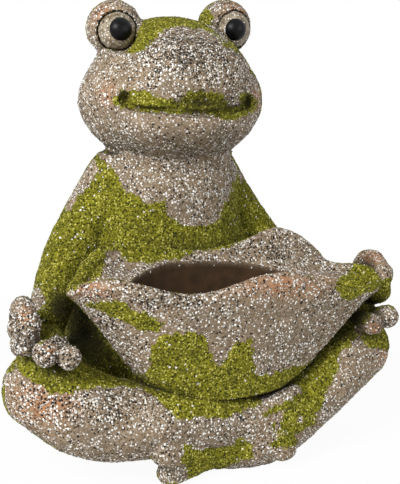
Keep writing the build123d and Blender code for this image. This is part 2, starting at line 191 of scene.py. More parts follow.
# Hands, with places from where they rest on top of the knees
hand_rests = {"right": (144.0, -99.0, 115.0), "left": (145.0, -99.0, 115.0)}
palm = ((0.0, 11.0, 3.0), (19.0, 30.0, 13.0))
outer_finger = ((2.0, 1.0, 2.0, 7.5), (6.0, -20.0, 4.5, 7.5), (8.0, -32.0, 6.0, 10.3))
inner_finger = ((-7.0, 1.0, 0.0, 7.5), (-8.5, -22.0, 1.2, 7.5), (-9.0, -35.0, 2.0, 9.4))
loop_offsets = {"right": (16.8, 4.0, 19.5), "left": (14.4, 4.0, 34.8)}
loop_radii = {"right": 15.5, "left": 17.0}
loop_finger_radius = 8.3
loop_knuckle_radius = 10.6
loop_knuckle_turns = (70.0, 130.0, 190.0, 250.0)
finger_blend = 3.0

# Feet
right_heel = (14.0, -127.0, 42.0, 17.0)
right_toes = (
    (62.0, -127.0, 61.0, 8.0),
    (89.0, -127.0, 41.0, 9.0),
    (48.0, -135.0, 18.0, 12.0),
    (21.0, -131.0, 19.0, 12.0),
)
left_heel = (-6.0, -118.0, 18.0, 14.0)
left_toes = ((-60.0, -139.0, 32.0, 11.5), (-52.0, -131.0, 11.0, 11.3))
web_radius = 4.5
web_reach = 0.62
toe_root_share = 0.9
foot_blend = 5.0

# Leaf bowl
bowl_axis = np.array((4.0, -108.0, 0.0))
bowl_foot_height = 68.0
bowl_half_length = 140.0
bowl_half_depth = 50.0
bowl_foot_half_sizes = (60.0, 30.0)
bowl_mouth_half_sizes = (79.0, 36.0)
bowl_bottom_half_sizes = (47.0, 19.0)
bowl_foot_recess = 3.0
bowl_floor = 10.0
bowl_rim_rise = 92.0
bowl_rim_wave = 34.0
bowl_lip_radius = 6.5
bowl_drain_radius = 6.0
bowl_wall_bows = ((0.36, 0.25), (0.64, 0.74))
bowl_slope_share = 0.45
bowl_throat_share = 0.55
bowl_lip_step = 15
bowl_least_slope = 0.2
bowl_space_taper = 0.6
curve_tries = 4
# Each row: degrees round the oval from the frog's left, then rise of the opening inside the bowl
bowl_mouth_rises = (
    (0.0, 91.0),
    (20.0, 91.0),
    (45.0, 94.5),
    (70.0, 101.0),
    (90.0, 104.0),
    (115.0, 106.0),
    (135.0, 100.5),
    (180.0, 95.0),
    (215.0, 85.0),
    (250.0, 84.0),
    (290.0, 88.0),
)
# Each row: degrees round the oval from the frog's left, then reach and rise of the rim
bowl_rim = (
    (11.0, 1.06, 0.12),
    (32.0, 1.03, 0.16),
    (44.0, 1.04, 0.70),
    (58.0, 1.04, 1.08),
    (72.0, 1.01, 0.78),
    (92.0, 1.00, 0.59),
    (124.0, 1.10, 0.90),
    (145.0, 0.98, 0.68),
    (168.0, 0.92, 0.42),
    (196.0, 1.01, 0.24),
    (213.0, 1.11, 0.42),
    (227.0, 1.17, 0.48),
    (250.0, 1.06, 0.05),
    (284.0, 1.03, 0.39),
    (304.0, 1.05, 0.00),
    (320.0, 1.05, -0.28),
    (337.0, 1.10, -0.20),
    (356.0, 1.07, 0.05),
)
bowl_turns = 420


# Distance fields. Each takes an array of points and gives a distance, negative inside.
def smooth_min(a, b, radius):
    """Union of two distances, rounded where they meet."""
    overlap = np.maximum(radius - np.abs(a - b), 0) / radius
    return np.minimum(a, b) - overlap**3 * radius / 6


def smooth_cut(a, tool, radius):
    """One distance with another cut out of it, rounded at the edge."""
    return -smooth_min(-a, tool, radius)


def ball(points, place, radius):
    return np.linalg.norm(points - np.array(place), axis=1) - radius


def ellipsoid(points, place, half_sizes):
    scaled = (points - np.array(place)) / half_sizes
    near = np.linalg.norm(scaled, axis=1)
    steep = np.linalg.norm(scaled / half_sizes, axis=1)
    return near * (near - 1) / np.maximum(steep, 1e-6)


def cone(points, start, end):
    """Round-ended cone between two rows of place and radius."""
    a = np.array(start[:3])
    along = np.array(end[:3]) - a
    share = np.clip((points - a) @ along / (along @ along), 0, 1)
    radius = start[3] + share * (end[3] - start[3])
    return np.linalg.norm(points - a - share[:, None] * along, axis=1) - radius


def hermite(t, start, slope_in, end, slope_out):
    """Place at a share of the way along a smooth curve from a start to an end."""
    first = (2 * t**3 - 3 * t**2 + 1) * start + (t**3 - 2 * t**2 + t) * slope_in
    return first + ((3 * t**2 - 2 * t**3) * end + (t**3 - t**2) * slope_out)


def eased(rows, steps):
    """More rows along a smooth curve through the given ones."""
    rows = np.array(rows, float)
    slopes = np.gradient(rows, axis=0)
    spans = zip(rows, slopes, rows[1:], slopes[1:])
    more = [hermite(t, *span) for span in spans for t in np.arange(steps) / steps]
    return np.array(more + [rows[-1]])


def limb(points, rows, steps=steps_per_span):
    """Round limb along a smooth curve through rows of place and radius."""
    rows = eased(rows, steps)
    distance = cone(points, rows[0], rows[1])
    for start, end in zip(rows[1:], rows[2:]):
        distance = np.minimum(distance, cone(points, start, end))
    return distance


def stations(start, end, shares):
    """Rows between two ends, each at its shares of the way."""
    return [tuple(a + (b - a) * share for a, b, share in zip(start, end, row)) for row in shares]


def above_body(row):
    return (row[0], row[1], row[2] + torso_height, *row[3:])


def from_rest(side, row):
    """A place given from where a hand rests."""
    return (*(a + b for a, b in zip(hand_rests[side], row)), *row[3:])


def torso(points):
    fine = eased(torso_stations, torso_steps)
    rise = points[:, 2] / torso_height
    width, depth, lean = (np.interp(rise, fine[:, 0], fine[:, column]) for column in (1, 2, 3))
    width = width * torso_half_width
    depth = depth * torso_half_depth
    across = (points[:, 0] - lean * torso_sway) / width
    along = (points[:, 1] - lean * torso_lean) / depth
    side = (np.hypot(across, along) - 1) * np.minimum(width, depth) * torso_side_share
    behind = np.clip((points[:, 1] - torso_lean) / nape_drop, 0, 1)
    side += behind * np.clip(points[:, 2] - torso_height + nape_drop, 0, nape_drop) ** 2 / (2 * nape_drop)
    return np.maximum(side, np.maximum(-points[:, 2], points[:, 2] - torso_height))


def head(points):
    shape = ellipsoid(points, above_body(cheeks[0]), cheeks[1])
    for place, half_sizes in (crown, muzzle, jaw):
        shape = smooth_min(shape, ellipsoid(points, above_body(place), half_sizes), head_blend)
    for place in bulb_places.values():
        shape = smooth_min(shape, ellipsoid(points, above_body(place), bulb_half_sizes), bulb_blend)
    return shape


def thigh(points, side):
    return limb(points, stations(hip, knees[side], thigh_shares))


def arm(points, side):
    wrist = from_rest(side, wrist_offset)
    return limb(points, stations(shoulders[side], wrist, arm_shares[side]))


def shin(points, side):
    return limb(points, stations(knees[side], ankles[side], shin_shares[side]))


def hand(points, side):
    shape = ellipsoid(points, from_rest(side, palm[0]), palm[1])
    for rows in (outer_finger, inner_finger):
        shape = smooth_min(shape, limb(points, [from_rest(side, row) for row in rows]), finger_blend)
    return shape


def finger_loop(points, side):
    middle = np.array(from_rest(side, loop_offsets[side]))
    local = points - middle
    radius = loop_radii[side]
    ring = np.hypot(local[:, 1], local[:, 2]) - radius
    shape = np.hypot(ring, local[:, 0]) - loop_finger_radius
    for degrees in loop_knuckle_turns:
        angle = math.radians(degrees)
        knuckle = middle + (0, -radius * math.sin(angle), radius * math.cos(angle))
        shape = smooth_min(shape, ball(points, knuckle, loop_knuckle_radius), finger_blend)
    return shape


def foot(points, heel, toes):
    root = (*heel[:3], heel[3] * toe_root_share)
    shape = ball(points, heel[:3], heel[3])
    for toe in toes:
        shape = smooth_min(shape, cone(points, root, toe), foot_blend)
    for first, second in zip(toes, toes[1:]):
        middle = (np.array(first[:3]) + second[:3]) / 2
        edge = np.array(heel[:3]) + (middle - heel[:3]) * web_reach
        shape = smooth_min(shape, cone(points, root, (*edge, web_radius)), foot_blend)
    return shape


def pair(name, field, left_blend, right_blend):
    """A left and a right piece. The right one is worked out as its mirror image."""
    mirror = np.array((-1, 1, 1))
    return {
        "left_" + name: (lambda points: field(points, "left"), left_blend),
        "right_" + name: (lambda points: field(points * mirror, "right"), right_blend),
    }


# Pieces in the order in which they are joined, with the radius that rounds each joint
fields = {
    "torso": (torso, 1.0),
    **pair("thigh", thigh, 12.0, 12.0),
    **pair("shin", shin, 9.0, 6.0),
    **pair("arm", arm, 12.0, 12.0),
    "head": (head, 16.0),
    **pair("hand", hand, 4.0, 4.0),
    **pair("finger_loop", finger_loop, 2.5, 2.5),
    "right_foot": (lambda points: foot(points, right_heel, right_toes), 5.0),
    "left_foot": (lambda points: foot(points, left_heel, left_toes), 3.0),
}


# Bowl
def rim_at(degrees):
    """Reach and rise of the rim at each turn round the oval."""
    table = np.array(bowl_rim)
    around = np.vstack([table[-2:] - (360, 0, 0), table, table[:2] + (360, 0, 0)])
    degrees = np.mod(degrees, 360)
    after = np.clip(np.searchsorted(around[:, 0], degrees, side="right"), 2, len(around) - 2)
    rows = [around[after + shift].T for shift in (-2, -1, 0, 1)]
    span = rows[2][0] - rows[1][0]
    t = (degrees - rows[1][0]) / span
    values = []
    for column in (1, 2):
        before, start, end, beyond = (row[column] for row in rows)
        slope_in = (end - before) / (rows[2][0] - rows[0][0]) * span
        slope_out = (beyond - start) / (rows[3][0] - rows[1][0]) * span
        values.append(hermite(t, start, slope_in, end, slope_out))
    return values


def on_oval(degrees):
    """How far along and across the bowl the rim's oval is at each turn."""
    return bowl_half_length * np.cos(np.radians(degrees)), bowl_half_depth * np.sin(np.radians(degrees))


def oval_reach(degrees, half_length, half_depth):
    """Distance from the bowl's axis to an oval, in the direction of a turn of the rim's oval."""
    along, across = on_oval(degrees)
    return np.hypot(along, across) / np.hypot(along / half_length, across / half_depth)


def wall_at(degrees):
    """Reach of the rim and of the foot, and height of the lip, at each turn round the oval."""
    reach, rise = rim_at(degrees)
    rim = reach * oval_reach(degrees, bowl_half_length, bowl_half_depth)
    lip = bowl_foot_height + bowl_rim_rise + rise * bowl_rim_wave - bowl_lip_radius
    return rim, oval_reach(degrees, *bowl_foot_half_sizes), lip


def bezier(corners, count):
    """Points on a curve from the first corner to the last, without the last one."""
    points = []
    for t in np.arange(count) / count:
        row = [np.array(corner) for corner in corners]
        while len(row) > 1:
            row = [a + (b - a) * t for a, b in zip(row, row[1:])]
        points.append(row[0])
    return points


def bowl_section(degrees):
    """Closed section of the bowl's wall and floor, and how many of its points are outside."""
    rim, foot_out, lip = (value[0] for value in wall_at(np.array([degrees])))
    mouth = oval_reach(degrees, *bowl_mouth_half_sizes)
    bottom = oval_reach(degrees, *bowl_bottom_half_sizes)
    turns, rises = zip(*bowl_mouth_rises)
    mouth_height = min(bowl_foot_height + np.interp(degrees, turns, rises, period=360), lip)
    floor_height = bowl_foot_height + bowl_floor
    recess_height = bowl_foot_height + bowl_foot_recess
    bows = []
    for out, up in bowl_wall_bows:
        bows.append((foot_out + (rim - foot_out) * out, bowl_foot_height + (lip - bowl_foot_height) * up))
    lip_inner = rim - 2 * bowl_lip_radius
    slope = (mouth + (lip_inner - mouth) * bowl_slope_share, mouth_height)
    throat = (mouth, floor_height + (mouth_height - floor_height) * bowl_throat_share)
    points = bezier([(bowl_drain_radius, recess_height), (bottom, recess_height)], 6)
    points += bezier([(bottom, recess_height), (bottom, bowl_foot_height)], 1)
    points += bezier([(bottom, bowl_foot_height), (foot_out, bowl_foot_height)], 4)
    points += bezier([(foot_out, bowl_foot_height), *bows, (rim, lip)], 64)
    for angle in np.radians(np.arange(0, 180, bowl_lip_step)):
        out = rim - bowl_lip_radius + bowl_lip_radius * math.cos(angle)
        points.append((out, lip + bowl_lip_radius * math.sin(angle)))
    points += bezier([(lip_inner, lip), slope, (mouth, mouth_height)], 28)
    outside = len(points)
    points += bezier([(mouth, mouth_height), throat, (bottom, floor_height)], 28)
    points += bezier([(bottom, floor_height), (bowl_drain_radius, floor_height)], 8)
    points += bezier([(bowl_drain_radius, floor_height), (bowl_drain_radius, recess_height)], 3)
    return np.array(points), outside


def bowl_directions(degrees):
    """Level unit vectors of the turns of the rim's oval."""
    along, across = on_oval(degrees)
    return np.stack([along, across], axis=-1) / np.hypot(along, across)[..., None]


def bowed(t, first, second):
    """Share of the way that a curve from 0 to 1 has gone, bent by its two middle corners."""
    return 3 * (1 - t) ** 2 * t * first + 3 * (1 - t) * t**2 * second + t**3


def bowl_space(points):
    """Distance to all that the bowl's wall stands round, for cutting the body out of it."""
    local = points[:, :2] - bowl_axis[:2]
    degrees = np.degrees(np.arctan2(local[:, 1] / bowl_half_depth, local[:, 0] / bowl_half_length))
    rim, foot_out, lip = wall_at(degrees)
    share = np.clip((points[:, 2] - bowl_foot_height) / (lip - bowl_foot_height), 0, 1)
    outs, ups = zip(*bowl_wall_bows)
    t = share.copy()
    for _ in range(curve_tries):
        slope = 3 * (1 - t) ** 2 * ups[0] + 6 * (1 - t) * t * (ups[1] - ups[0]) + 3 * t**2 * (1 - ups[1])
        t = np.clip(t - (bowed(t, *ups) - share) / np.maximum(slope, bowl_least_slope), 0, 1)
    above = np.maximum(points[:, 2] - lip, 0)
    wall = foot_out + (rim - foot_out) * bowed(t, *outs) - bowl_lip_radius - above * bowl_space_taper
    lean = np.hypot(1, (rim - foot_out) / (lip - bowl_foot_height))
    side = (np.linalg.norm(local, axis=1) - wall) / lean
    return np.maximum(side, bowl_foot_height + bowl_foot_recess - points[:, 2])


def ball_place(side, kind):
    """Middle and radius of an eyeball or a pupil, from its CAD node, whose front alone may be cut."""
    low, high = frame_box(side + "_" + kind)
    radius = (high[2] - low[2]) / 2
    middle = np.array(((low[0] + high[0]) / 2, high[1] - radius, (low[2] + high[2]) / 2))
    return middle + eye_shift, radius + eye_growth[kind]


def carved(points, shape):
    """The joined figure with its mouth, eye sockets, bowl and flat underside cut."""
    face = (points[:, 2] > face_bottom) & (points[:, 1] < face_back)
    near = points[face]
    cut = shape[face]
    for rows, blend in ((arch_rows, arch_blend), (mouth_line_rows, mouth_blend)):
        cut = smooth_cut(cut, limb(near, [above_body(row) for row in rows]), blend)
    for pit in mouth_pits:
        cut = smooth_cut(cut, ball(near, above_body(pit)[:3], pit[3]), mouth_blend)
    for side in bulb_places:
        middle, radius = ball_place(side, "eyeball")
        ahead = middle - above_body(bulb_places[side])
        ahead = middle + ahead / np.linalg.norm(ahead) * lid_flare_reach
        socket = np.minimum(
            ball(near, middle, radius + lid_gap),
            cone(near, (*middle, lid_radius), (*ahead, lid_flare_radius)),
        )
        cut = smooth_cut(cut, socket, lid_blend)
    shape = shape.copy()
    shape[face] = cut
    shape = np.maximum(shape, -bowl_space(points))
    return np.maximum(shape, -points[:, 2])


def figure(points):
    """Distance to the carved figure, and to each of its pieces."""
    whole = np.full(len(points), far_away)
    parts = {}
    for name, (field, blend) in fields.items():
        low, high = frame_box(name)
        near = np.all((points > low - reach_margin) & (points < high + reach_margin), axis=1)
        own = np.full(len(points), far_away)
        own[near] = field(points[near])
        parts[name] = own
        whole[near] = smooth_min(whole[near], own[near], blend)
    return carved(points, whole), parts


def between(grid, low, part):
    """Values of a grid at places between its nodes, given by the lower node and the part beyond it."""
    total = np.zeros(len(low))
    for corner in np.ndindex(2, 2, 2):
        weight = np.prod(np.where(corner, part, 1 - part), axis=1)
        total += weight * grid[tuple(((low + corner) % grid.shape).T)]
    return total


def openness(vertices, normals, sampled, origin, beside_bowl):
    """Share of open air round each vertex, from 0 deep in a crease to 1 on a free surface."""
    share = np.ones(len(vertices))
    for reach, weight in crease_reaches:
        places = vertices + normals * reach
        local = np.clip((places - origin) / cell, 0, np.array(sampled.shape) - 1.01)
        low = local.astype(int)
        clear = between(sampled, low, local - low)
        if beside_bowl:
            clear = np.minimum(clear, bowl_space(places))
        share -= weight * (1 - np.clip(clear / reach, 0, 1))
    return np.clip(share, 0, 1)


def apart(parts, name):
    """How much farther a piece is than its nearest neighbour, negative where it is the nearest."""
    others = np.minimum.reduce([parts[other] for other in parts if other != name])
    return parts[name] - others


# Sampling the figure on a grid and meshing it
def finer(coarse):
    """A coarse grid drawn out to the fine one, linear between its nodes."""
    for axis in range(3):
        low = np.take(coarse, range(coarse.shape[axis] - 1), axis)
        high = np.take(coarse, range(1, coarse.shape[axis]), axis)
        steps = [low + (high - low) * (step / coarse_step) for step in range(coarse_step)]
        joined = np.stack(steps, axis + 1)
        shape = list(low.shape)
        shape[axis] *= coarse_step
        last = np.take(coarse, [coarse.shape[axis] - 1], axis)
        coarse = np.concatenate([joined.reshape(shape), last], axis)
    return coarse


def grid_points(origin, shape, step):
    axes = [origin[axis] + np.arange(shape[axis]) * step for axis in range(3)]
    return np.stack(np.meshgrid(*axes, indexing="ij"), -1).reshape(-1, 3)


def surface_net(values, origin):
    """Vertices and four-sided faces of the surface where a grid of distances is zero."""
    inside = values < 0
    corners = list(np.ndindex(2, 2, 2))
    unit = np.eye(3, dtype=int)
    shape = np.array(values.shape) - 1
    views = [inside[tuple(slice(c, c + n) for c, n in zip(corner, shape))] for corner in corners]
    cells = np.argwhere(np.logical_or.reduce(views) & ~np.logical_and.reduce(views))
    number = np.full(shape, -1)
    number[tuple(cells.T)] = np.arange(len(cells))
    total = np.zeros((len(cells), 3))
    count = np.zeros(len(cells))
    for axis in range(3):
        step = unit[axis]
        for corner in corners:
            if corner[axis]:
                continue
            a = values[tuple((cells + corner).T)]
            b = values[tuple((cells + corner + step).T)]
            crossing = (a < 0) != (b < 0)
            share = np.where(crossing, a / np.where(crossing, a - b, 1), 0)
            total += crossing[:, None] * (corner + share[:, None] * step)
            count += crossing
    vertices = origin + (cells + total / count[:, None]) * cell
    faces = []
    for axis in range(3):
        one, two = (axis + 1) % 3, (axis + 2) % 3
        length = np.array(values.shape)
        length[axis] -= 1
        start = inside[tuple(slice(0, n) for n in length)]
        stop = inside[tuple(slice(unit[axis][d], unit[axis][d] + n) for d, n in enumerate(length))]
        for outward in (True, False):
            edges = np.argwhere((start & ~stop) if outward else (~start & stop))
            edges = edges[(edges[:, one] > 0) & (edges[:, two] > 0)]
            edges = edges[(edges[:, one] < shape[one]) & (edges[:, two] < shape[two])]
            ring = [edges - unit[one] - unit[two], edges - unit[two], edges, edges - unit[one]]
            quad = np.stack([number[tuple(place.T)] for place in ring], 1)
            faces.append(quad if outward else quad[:, ::-1])
    return vertices, np.concatenate(faces)


def sample_figure():
    """Vertices, faces and lining of every piece of the figure, and the sampled distances and origin."""
    lows, highs = zip(*(frame_box(name) for name in fields))
    block = cell * coarse_step
    origin = np.floor((np.min(lows, 0) - window_margin) / block) * block
    blocks = np.ceil((np.max(highs, 0) + window_margin - origin) / block).astype(int)
    coarse_shape = blocks + 1
    fine_shape = blocks * coarse_step + 1
    whole, parts = figure(grid_points(origin, coarse_shape, block))
    fine = finer(whole.reshape(coarse_shape))
    close = np.abs(fine) < band
    places = origin + np.argwhere(close) * cell
    exact, exact_parts = figure(places)
    fine[close] = exact
    order = np.full(fine_shape, -1)
    order[close] = np.arange(len(places))
    meshes = {}
    for name in fields:
        low, high = frame_box(name)
        first = np.maximum(np.floor((low - window_margin - origin) / block).astype(int), 0)
        last = np.minimum(np.ceil((high + window_margin - origin) / block).astype(int), blocks)
        window = tuple(slice(a, b + 1) for a, b in zip(first, last))
        wide = tuple(slice(a * coarse_step, b * coarse_step + 1) for a, b in zip(first, last))
        margin = finer(apart(parts, name).reshape(coarse_shape)[window])
        known = order[wide] >= 0
        margin[known] = apart(exact_parts, name)[order[wide][known]]
        share = np.clip(margin / seam_width, 0, 1)
        values = np.maximum(fine[wide] + seam_dip * share**2, margin - seam_width)
        rim = np.ones(values.shape, bool)
        rim[1:-1, 1:-1, 1:-1] = False
        values[rim] = np.abs(values[rim]) + 0.01
        meshes[name] = (*surface_net(values, origin + first * block), 0.0)
    return meshes, fine, origin


def bowl_mesh():
    """Vertices and faces of the bowl, and the share of the plain painted inside at each vertex."""
    degrees = np.arange(bowl_turns) * 360 / bowl_turns
    directions = bowl_directions(degrees)
    rings = []
    for angle, direction in zip(degrees, directions):
        section, outside = bowl_section(angle)
        level = bowl_axis[:2] + section[:, :1] * direction
        rings.append(np.column_stack([level, section[:, 1]]))
    count = len(rings[0])
    vertices = np.concatenate(rings)
    a = np.arange(bowl_turns)[:, None] * count
    b = np.roll(np.arange(bowl_turns), -1)[:, None] * count
    here = np.arange(count)[None]
    after = np.roll(np.arange(count), -1)[None]
    faces = np.stack([a + here, b + here, b + after, a + after], -1).reshape(-1, 4)
    lining = eased_step(outside - 2, outside + 2, np.arange(count))
    return vertices, faces, np.tile(lining, bowl_turns)


def dome_mesh(middle, radius, rings=48, turns=96):
    """Vertices and faces of a ball whose poles lie front and back."""
    polar = np.pi * np.arange(1, rings) / rings
    around = 2 * np.pi * np.arange(turns) / turns
    grid = [
        (math.sin(p) * math.cos(t), -math.cos(p), math.sin(p) * math.sin(t)) for p in polar for t in around
    ]
    vertices = middle + radius * np.array([(0, -1, 0), *grid, (0, 1, 0)])
    faces = []
    for t in range(turns):
        u = (t + 1) % turns
        faces.append((0, 1 + u, 1 + t))
        for ring in range(rings - 2):
            a = 1 + ring * turns
            faces.append((a + t, a + u, a + turns + u, a + turns + t))
        a = 1 + (rings - 2) * turns
        faces.append((a + t, a + u, len(vertices) - 1))
    return vertices, faces


# Paint, placed by where it is seen in the photograph, in its pixels
# Each outline: the kind of cover, then its corners
MOSS = 1
BARE = 0
moss_outlines = {
    "head": (
        (MOSS, ((128, 53), (133, 41), (139, 31), (142, 21), (140, 8), (206, 4), (212, 14), (209, 24),
            (217, 34), (226, 43), (242, 48), (237, 54), (226, 47), (217, 36), (201, 29), (182, 26),
            (165, 30), (155, 40), (143, 49))),
        (MOSS, ((112, 104), (114, 97), (120, 92), (127, 90), (136, 91), (146, 92), (155, 95), (163, 98),
            (172, 100), (178, 101), (183, 97), (188, 94), (194, 91), (200, 90), (209, 91), (217, 92),
            (223, 97), (228, 103), (234, 107), (239, 107), (241, 98), (243, 94), (247, 92), (253, 95),
            (257, 101), (257, 107), (252, 112), (245, 115), (239, 118), (232, 120), (226, 120),
            (219, 118), (212, 115), (204, 113), (195, 113), (185, 113), (172, 113), (160, 113),
            (150, 112), (140, 110), (128, 109), (119, 108))),
    ),
    "torso": (
        (BARE, ((90, 140), (100, 158), (113, 168), (125, 190), (150, 205), (165, 200), (170, 215),
            (185, 225), (215, 225), (225, 205), (232, 185), (240, 170), (250, 140))),
    ),
    "right_arm": (
        (BARE, ((60, 205), (72, 182), (86, 162), (103, 152), (112, 166), (97, 174), (84, 190),
            (70, 212))),
        (BARE, ((20, 284), (34, 286), (44, 294), (48, 304), (38, 312), (20, 308))),
    ),
    "left_arm": ((BARE, ((225, 150), (238, 160), (246, 176), (240, 184), (228, 176))),),
    "right_hand": ((MOSS, ((28, 290), (95, 290), (95, 345), (80, 340), (66, 336), (52, 337), (40, 343),
        (30, 352))),),
    "left_hand": ((MOSS, ((330, 290), (400, 290), (400, 306), (386, 308), (375, 312), (366, 322),
        (352, 330))),),
    "left_finger_loop": ((MOSS, ((372, 280), (396, 276), (396, 315), (370, 315))),),
    "leaf_bowl": (
        (MOSS, ((66, 292), (60, 270), (85, 235), (240, 225), (240, 243), (223, 249), (200, 250),
            (185, 257), (160, 262), (140, 263), (128, 262), (121, 254), (108, 248), (105, 262),
            (101, 276), (86, 282), (77, 289))),
        (MOSS, ((334, 287), (340, 279), (349, 271), (355, 262), (370, 258), (384, 272), (384, 286),
            (368, 292), (357, 298), (349, 301), (340, 296))),
        (MOSS, ((86, 303), (109, 300), (125, 302), (134, 310), (150, 315), (162, 324), (159, 331),
            (140, 329), (125, 323), (109, 315), (94, 308))),
        (MOSS, ((152, 347), (160, 336), (176, 333), (203, 333), (208, 346), (214, 361), (220, 365),
            (228, 355), (234, 343), (251, 341), (253, 358), (258, 378), (278, 372), (294, 367),
            (312, 362), (306, 395), (250, 415), (180, 415), (120, 372), (132, 374), (144, 375),
            (150, 364))),
    ),
    "right_shin": (
        (MOSS, ((10, 330), (160, 330), (220, 380), (268, 380), (267, 394), (262, 404), (240, 412),
            (222, 418), (200, 418), (179, 419), (165, 408), (153, 395), (140, 388), (109, 387),
            (81, 390), (62, 393), (51, 394), (34, 382), (17, 369), (8, 352))),
    ),
    "left_shin": (
        (MOSS, ((360, 336), (342, 350), (337, 374), (328, 388), (323, 404), (317, 414), (315, 423),
            (290, 438), (150, 500), (120, 420), (300, 330), (345, 300))),
        (MOSS, ((360, 340), (372, 348), (388, 350), (400, 340), (400, 310), (365, 320))),
    ),
    "right_foot": (
        (MOSS, ((262, 413), (270, 407), (287, 401), (303, 391), (310, 398), (290, 409), (275, 414),
            (262, 416))),
        (MOSS, ((180, 438), (215, 438), (242, 437), (253, 445), (251, 458), (219, 462), (190, 466))),
        (MOSS, ((268, 444), (278, 436), (300, 429), (300, 440), (292, 448), (278, 448))),
        (MOSS, ((190, 400), (262, 404), (240, 412), (222, 418), (200, 418))),
    ),
    "left_foot": (
        (BARE, ((150, 440), (158, 434), (172, 434), (183, 441), (186, 452), (180, 460), (189, 470),
            (187, 482), (160, 486), (150, 470))),
    ),
}
# Cover where no outline is seen
mossy_pieces = ("torso", "right_arm", "left_arm", "right_thigh", "left_thigh", "left_foot")
# Each spot: its place, its half width and half height
blush_spots = {
    "head": ((104, 14, 12, 10), (235, 9, 12, 7), (107, 94, 8, 11), (259, 97, 6, 12)),
    "leaf_bowl": ((92, 290, 20, 8), (282, 286, 46, 11)),
    "right_shin": ((44, 404, 30, 22),),
    "left_shin": ((386, 360, 7, 12),),
    "right_finger_loop": ((23, 314, 9, 8),),
    "left_finger_loop": ((372, 256, 12, 8),),
    "right_hand": ((50, 350, 9, 7),),
    "left_hand": ((375, 328, 6, 7),),
}
# Where there is less or more grit: place, half sizes and how much of it there is
grit_spots = {
    "head": ((190, 134, 46, 14, 0.45), (110, 100, 14, 14, 0.5), (172, 84, 20, 8, 0.7),
        (188, 56, 38, 26, 1.75)),
    "leaf_bowl": ((270, 318, 70, 24, 0.45), (225, 352, 26, 14, 0.5), (150, 330, 30, 14, 0.6),
        (262, 250, 34, 12, 1.5), (176, 300, 44, 9, 1.6), (112, 326, 30, 16, 1.3)),
    "right_shin": ((120, 440, 80, 14, 0.45), (100, 408, 70, 16, 1.4)),
    "right_finger_loop": ((22, 330, 20, 40, 1.5),),
    "right_hand": ((60, 352, 30, 20, 1.5),),
    "left_shin": ((360, 400, 30, 40, 0.6),),
}
# Painted shade in hollows and in places that lie in shadow: place, half sizes and how much light is left
shade_spots = {
    "head": ((203, 103, 22, 6, 0.15), (125, 98, 5, 5, 0.1), (247, 102, 5, 7, 0.1)),
    "torso": ((90, 330, 24, 32, 0.1),),
    "right_arm": ((60, 308, 16, 20, 0.1),),
    "right_thigh": ((88, 345, 30, 24, 0.1), (62, 330, 18, 12, 0.3)),
    "right_hand": ((70, 322, 12, 12, 0.3),),
    "left_arm": ((350, 312, 26, 18, 0.1),),
    "left_thigh": ((350, 325, 26, 18, 0.1),),
    "left_hand": ((356, 318, 14, 12, 0.1), (378, 322, 16, 14, 0.55)),
    "left_shin": ((348, 334, 24, 12, 0.3),),
}
wave_lattice = 40
moss_edge = 4.5
moss_wander = 2.6
moss_wander_size = 5.0
# How far from an outline's edge its cover still grows more certain
deepest = 20.0
facing_range = (0.02, 0.22)
# Moss out of the photograph's sight: size of its patches, how much there is on mossy and on other
# pieces, how much more on top, and how sharp its edges are
patch_size = 38.0
unseen_mossy = 0.35
unseen_bare = -0.2
unseen_upward = 0.2
unseen_contrast = 30.0


def seen_at(points):
    """Where the photograph's camera sees points: pixels across and down."""
    ahead = camera_target - camera_place
    ahead = ahead / np.linalg.norm(ahead)
    across = np.cross(ahead, (0, 0, 1))
    across = across / np.linalg.norm(across)
    upward = np.cross(across, ahead)
    local = points - camera_place
    depth = local @ ahead
    x = PHOTO_WIDTH / 2 + camera_focus_px * (local @ across) / depth
    y = PHOTO_HEIGHT / 2 - camera_focus_px * (local @ upward) / depth
    return np.column_stack([x, y])


def inside_outline(places, corners):
    """Distance to an outline, positive inside it."""
    corners = np.array(corners, float)
    nearest = np.full(len(places), np.inf)
    inside = np.zeros(len(places), bool)
    for a, b in zip(corners, np.roll(corners, -1, 0)):
        edge = b - a
        share = np.clip((places - a) @ edge / (edge @ edge), 0, 1)
        nearest = np.minimum(nearest, np.linalg.norm(places - a - share[:, None] * edge, axis=1))
        beside = (a[1] > places[:, 1]) != (b[1] > places[:, 1])
        level = np.where(beside, (places[:, 1] - a[1]) / np.where(edge[1], edge[1], 1), 0)
        inside ^= beside & (places[:, 0] < a[0] + level * edge[0])
    return np.where(inside, nearest, -nearest)


def waves(points, size, seed):
    """Soft noise from -1 to 1 with lumps of a size."""
    lattice = np.random.default_rng(seed).uniform(-1, 1, (wave_lattice,) * 3)
    low = np.floor(points / size).astype(int)
    part = points / size - low
    return between(lattice, low, part * part * (3 - 2 * part))


def eased_step(low, high, values):
    t = np.clip((values - low) / (high - low), 0, 1)
    return t * t * (3 - 2 * t)


def spot_cover(places, spot):
    x, y, half_width, half_height = spot
    return np.exp(-(((places[:, 0] - x) / half_width) ** 2) - ((places[:, 1] - y) / half_height) ** 2)


